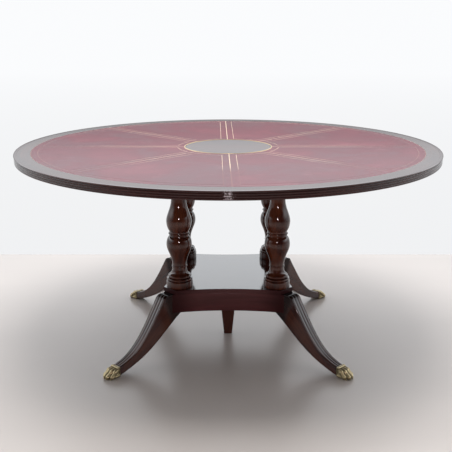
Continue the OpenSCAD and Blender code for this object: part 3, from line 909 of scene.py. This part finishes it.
def standing_out(co, normals, edges):
    """0 to 1: how far each point stands out from its neighbours' average over a few millimetres."""
    smooth = co.copy()
    count = np.bincount(edges.ravel(), minlength=len(co))[:, None]
    for _ in range(14):
        total = np.zeros_like(smooth)
        np.add.at(total, edges[:, 0], smooth[edges[:, 1]])
        np.add.at(total, edges[:, 1], smooth[edges[:, 0]])
        smooth = 0.3 * smooth + 0.7 * total / np.maximum(count, 1)
    proud = ((co - smooth) * normals).sum(1)
    return np.clip(0.5 + proud / 0.0011, 0, 1)


def paw_mesh():
    """One lion's paw in its own frame, x outward from the collar's back face."""
    bm = bmesh.new()
    paw_solids(bm)
    done = single_skin(bm, 0.75 * MM)
    bm.free()
    co, normals = vertex_rows(done, "co"), vertex_rows(done, "normal")
    # engraved hair on the upper rear of the paw
    for i, (x, y, z) in enumerate(co):
        fade = clamp((x - 0.0118) / 0.003) * clamp((0.036 - x) / 0.012)
        if fade > 0 and z > 0.004:
            wave = math.sin(y * 3100 + 4.4 * noise.noise(Vector((x * 90, y * 90, z * 90))))
            co[i] += normals[i] * (0.00022 * fade * wave)
    # flat sole, flat back
    co[:, 2] = np.maximum(co[:, 2], 0.0)
    co[:, 0] = np.maximum(co[:, 0], 0.0)
    faces = [tuple(p.vertices) for p in done.polygons]
    edges = np.array([e.vertices[:] for e in done.edges])
    raised = standing_out(co, normals, edges)
    bpy.data.meshes.remove(done)
    return [tuple(map(float, v)) for v in co], faces, [float(v) for v in raised]


paw_verts, paw_faces, paw_raised = paw_mesh()
for place, turn in CORNERS.items():
    placed = spin([(x + CAP_X, y, z) for x, y, z in paw_verts], turn)
    grain = [(x + turn, y, z) for x, y, z in paw_verts]
    piece(f"paw_cap_{place}_cast", placed, paw_faces, [BRASS], f"paw_cap_{place}",
          grain=grain, raised=paw_raised, crease=75)


# ---------- CAD nodes that stay, with finer materials ----------

def repaint(material, *names):
    for name in names:
        for s in frame["nodes"][name].material_slots:
            s.material = material


repaint(board_paint("core_board"), "top_core")
for key, along, names in (("bearers", "x", ("bearer_front", "bearer_back")),
                          ("rails", "y", ("rail_left", "rail_right"))):
    repaint(plain_wood(f"beech_{key}", (0.16, 0.075, 0.034), (0.27, 0.145, 0.072), along), *names)
for key, along, names in (("blocks", "z", [f"corner_block_{place}" for place in CORNERS] + ["centre_block"]),
                          ("glue_blocks", "x", ("glue_blocks", "centre_rail"))):
    repaint(plain_wood(f"beech_{key}", (0.18, 0.085, 0.040), (0.30, 0.165, 0.085), along), *names)
repaint(steel_paint("dull_steel"), "bearer_screws", "block_screws", "leg_studs", "leg_washers", "leg_nuts")
repaint(brass_paint("brass_pins", False), "paw_pins")


# ---------- floor, light, camera ----------

STAGE_HALF = 30
WALL_Y = 1.05


def sheet(name, y0, y1, material):
    """A flat part of the stage, at floor level."""
    mesh = bpy.data.meshes.new(name)
    corners = [(-STAGE_HALF, y0, 0), (STAGE_HALF, y0, 0), (STAGE_HALF, y1, 0), (-STAGE_HALF, y1, 0)]
    mesh.from_pydata(corners, [], [(0, 1, 2, 3)])
    mesh.materials.append(material)
    ob = bpy.data.objects.new(name, mesh)
    bpy.context.scene.collection.objects.link(ob)


def floor_paint():
    p = Paint("studio_floor", Roughness=0.3, IOR=1.47)
    space = p.node("TexCoord").outputs["Object"]
    drift = p.noise(p.stretch(space, (0.5, 2.0, 1)), 1.0, 2, 0.4)
    p.link("Base Color", p.ramp(drift, [(0.3, (0.570, 0.515, 0.480)), (0.7, (0.640, 0.580, 0.543))]))
    p.link("Roughness", p.curve(drift, 0.3, 0.7, 0.29, 0.31))
    return p.mat


def backdrop_paint():
    """A glowing sweep behind the floor, a little brighter the further back it lies."""
    m = bpy.data.materials.new("studio_backdrop")
    m.use_nodes = True
    p = Nodes(m.node_tree)
    depth = p.node("SeparateXYZ", Vector=p.node("TexCoord").outputs["Object"]).outputs["Y"]
    tone = p.node("MapRange", Value=depth, From_Min=1.2, From_Max=14.0, To_Min=0.88, To_Max=0.965)
    glow = p.node("Emission", Color=(0.995, 1.005, 1.020, 1), Strength=tone.outputs[0])
    p.node("OutputMaterial", Surface=glow.outputs[0])
    return m


sheet("floor", -STAGE_HALF, WALL_Y, floor_paint())
sheet("backdrop_sweep", WALL_Y, 60, backdrop_paint())

# what lights the table softly
BACK_WALL = 0.62
SIDE_WALLS = 0.75
CEILING = 0.85
FRONT_ROOM = 0.09
# what the polish mirrors
LOW_WALL = 1.12
WALL_FOOT = 0.25
WINDOW_BAND = 1.25
MIRROR_SIDES = 0.7
MIRROR_FRONT = 0.05
world = bpy.data.worlds.new("studio")
bpy.context.scene.world = world
world.use_nodes = True
sky = Nodes(world.node_tree)

# a dim room in front, bright walls behind and at both sides, a ceiling bright towards the back
ax, ay, az = sky.node("SeparateXYZ", Vector=sky.node("TexCoord").outputs["Generated"]).outputs
sideways = sky.math("MULTIPLY", ax, ax)
walls = sky.math("MULTIPLY_ADD", sideways, SIDE_WALLS, BACK_WALL)
walls = sky.math("MULTIPLY", sky.curve(ay, -0.42, -0.08), walls)
walls = sky.math("MULTIPLY", walls, sky.curve(az, 0.80, 0.45))
ceiling = sky.curve(sky.math("MULTIPLY_ADD", ay, 0.75, sky.math("MULTIPLY", az, 0.66)), 0.0, 0.6)
soft_level = sky.math("MAXIMUM", walls, sky.math("MULTIPLY", ceiling, CEILING))
soft_level = sky.math("ADD", soft_level, FRONT_ROOM)

# the polish mirrors a wall that is darker near the floor and brightest in a band at window height
band = sky.math("MULTIPLY", sky.curve(az, 0.20, 0.30), sky.curve(az, 0.49, 0.40))
low_wall = sky.math("MULTIPLY_ADD", sky.curve(az, 0.105, 0.18), (1 - WALL_FOOT) * LOW_WALL,
                    WALL_FOOT * LOW_WALL)
far_sides = sky.math("MULTIPLY", sky.curve(sideways, 0.07, 0.55), MIRROR_SIDES)
mirror_back = sky.math("ADD", sky.math("MULTIPLY_ADD", band, WINDOW_BAND, low_wall), far_sides)
mirror_level = sky.math("MULTIPLY_ADD", mirror_back, sky.curve(ay, -0.75, 0.08), MIRROR_FRONT)

ray = sky.node("LightPath").outputs
level = sky.math("MULTIPLY_ADD", ray["Is Glossy Ray"], sky.math("SUBTRACT", mirror_level, soft_level),
                 soft_level)
light_sky = sky.node("Background", Color=(0.935, 0.965, 1.0, 1), Strength=level).outputs[0]
seen_sky = sky.node("Background", Color=(0.96, 0.97, 0.984, 1), Strength=1.0).outputs[0]
pick = sky.node("MixShader", Fac=ray["Is Camera Ray"])
sky.feed(pick.inputs[1], light_sky)
sky.feed(pick.inputs[2], seen_sky)
sky.node("OutputWorld", Surface=pick.outputs[0])


def softbox(name, place, aim, size, power, tall=None, colour=(1, 1, 1)):
    """An area light aimed at a point: a rectangle size wide and tall high, or a disc."""
    data = bpy.data.lights.new(name, "AREA")
    data.shape = "RECTANGLE" if tall else "DISK"
    data.size = size
    if tall:
        data.size_y = tall
    data.energy = power
    data.color = colour
    ob = bpy.data.objects.new(name, data)
    ob.location = place
    ob.rotation_euler = (Vector(aim) - Vector(place)).to_track_quat("-Z", "Y").to_euler()
    ob.visible_camera = False
    bpy.context.scene.collection.objects.link(ob)
    return ob


# the big lights fill and are not mirrored themselves; the small lamp only draws highlights
softbox("back_top", (0, 1.5, 3.2), (0, 0, 0.5), 3.4, 17, tall=1.4).visible_glossy = False
softbox("overhead", (0, -0.35, 3.0), (0, -0.35, 0), 1.7, 69, tall=1.4).visible_glossy = False
lamp = softbox("lamp_by_camera", (0.0, -3.4, 1.42), (0, 0, 0.5), 0.25, 20.0, colour=(1.0, 0.84, 0.90))
lamp.visible_diffuse = False
softbox("low_fill", (0, -4.0, 0.3), (0, 0, 0.3), 3.0, 37, tall=0.4).visible_glossy = False

# the lamp reaches the table only, so the floor shows no glare from behind
polished = bpy.data.collections.new("takes_highlights")
for ob in bpy.context.scene.objects:
    if ob.type == "MESH" and ob.name not in ("floor", "backdrop_sweep"):
        polished.objects.link(ob)
lamp.light_linking.receiver_collection = polished

# the photo's camera, solved from the ellipse of the top and the places of columns and paws
CAMERA_PLACE = (-0.0079, -2.9411, 1.2212)
CAMERA_DOWN = 14.97
camera = bpy.data.cameras.new("camera")
camera.sensor_width = 36
camera.lens = 63.48
view = bpy.data.objects.new("camera", camera)
view.location = CAMERA_PLACE
view.rotation_euler = (math.radians(90 - CAMERA_DOWN), 0, 0)
bpy.context.scene.collection.objects.link(view)
bpy.context.scene.camera = view
bpy.context.scene.view_settings.view_transform = "Standard"
